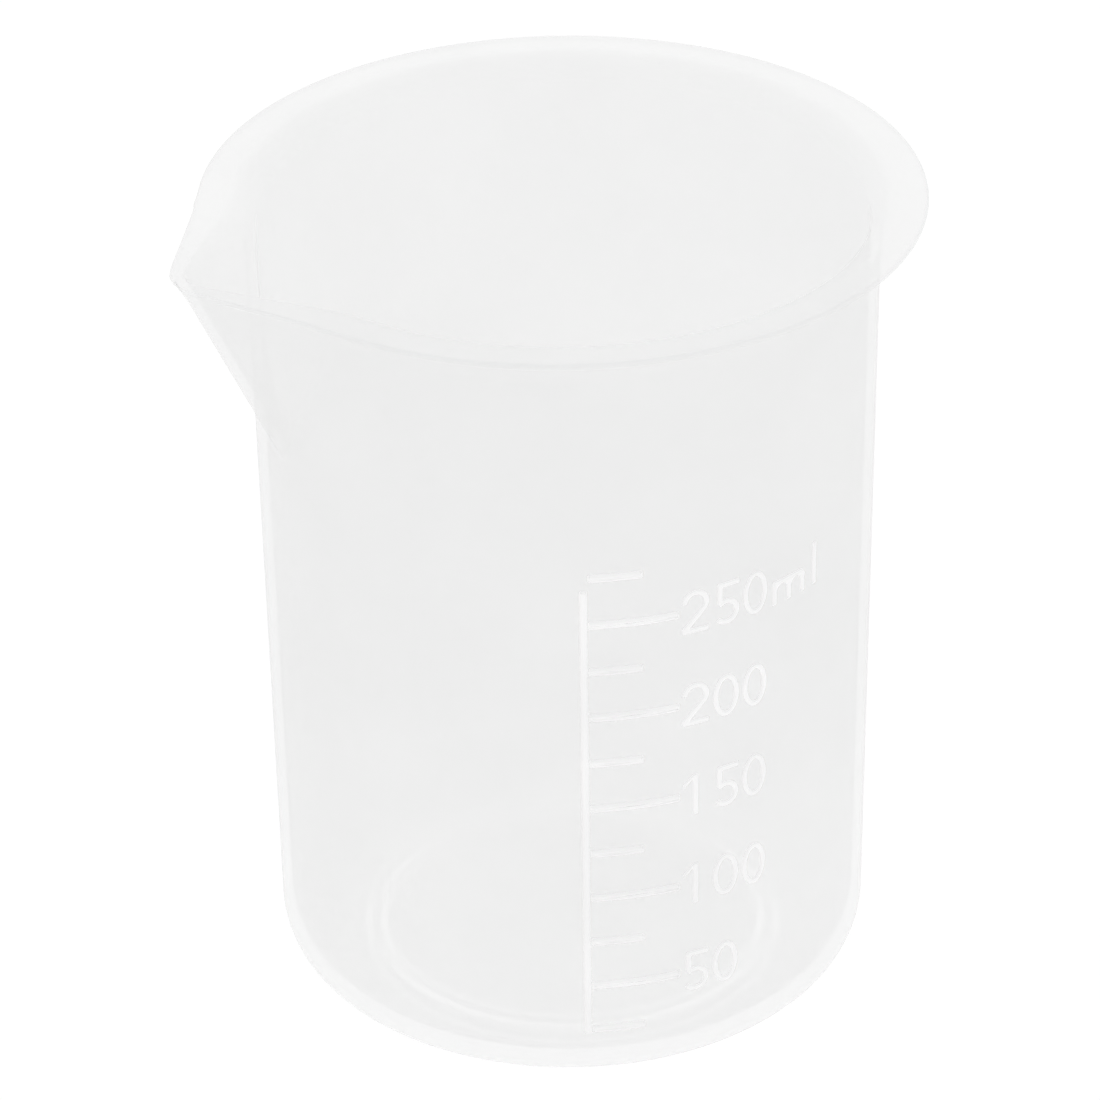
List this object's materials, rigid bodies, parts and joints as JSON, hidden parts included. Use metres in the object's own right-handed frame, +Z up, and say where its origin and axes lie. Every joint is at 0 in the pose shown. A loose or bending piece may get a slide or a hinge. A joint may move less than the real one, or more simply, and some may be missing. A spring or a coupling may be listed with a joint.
{
  "type": "laboratory beaker",
  "caption": "Low-form moulded plastic beaker with a flared rim, a pointed pouring spout and a raised volume scale.",
  "frame": {"origin": "on the vessel's axis, in the plane of the foot ring's flat underside, so the beaker stands on z = 0", "axes": "+Z up along the vessel's axis, out of the mouth. The spout points midway between -X and -Y. The scale is on the wall's other front quarter, with the middle of its numerals midway between +X and -Y, at a right angle to the spout"},
  "size_m": [0.0856, 0.0856, 0.103],
  "materials": {
    "vessel_polypropylene": "natural polypropylene, injection moulded, milky translucent with a soft satin sheen",
    "raised_scale_polypropylene": "the same polypropylene as the vessel, in raised marks with rounded, slightly glossier crests"
  },
  "bodies": {
    "root": {"vessel": "vessel_polypropylene", "scale_stem": "raised_scale_polypropylene", "graduation_025": "raised_scale_polypropylene", "graduation_050": "raised_scale_polypropylene", "graduation_075": "raised_scale_polypropylene", "graduation_100": "raised_scale_polypropylene", "graduation_125": "raised_scale_polypropylene", "graduation_150": "raised_scale_polypropylene", "graduation_175": "raised_scale_polypropylene", "graduation_200": "raised_scale_polypropylene", "graduation_225": "raised_scale_polypropylene", "graduation_250": "raised_scale_polypropylene", "graduation_275": "raised_scale_polypropylene", "numeral_50_digit_1": "raised_scale_polypropylene", "numeral_50_digit_2": "raised_scale_polypropylene", "numeral_100_digit_1": "raised_scale_polypropylene", "numeral_100_digit_2": "raised_scale_polypropylene", "numeral_100_digit_3": "raised_scale_polypropylene", "numeral_150_digit_1": "raised_scale_polypropylene", "numeral_150_digit_2": "raised_scale_polypropylene", "numeral_150_digit_3": "raised_scale_polypropylene", "numeral_200_digit_1": "raised_scale_polypropylene", "numeral_200_digit_2": "raised_scale_polypropylene", "numeral_200_digit_3": "raised_scale_polypropylene", "numeral_250_digit_1": "raised_scale_polypropylene", "numeral_250_digit_2": "raised_scale_polypropylene", "numeral_250_digit_3": "raised_scale_polypropylene", "unit_letter_m": "raised_scale_polypropylene", "unit_letter_l": "raised_scale_polypropylene"}
  },
  "joints": []
}
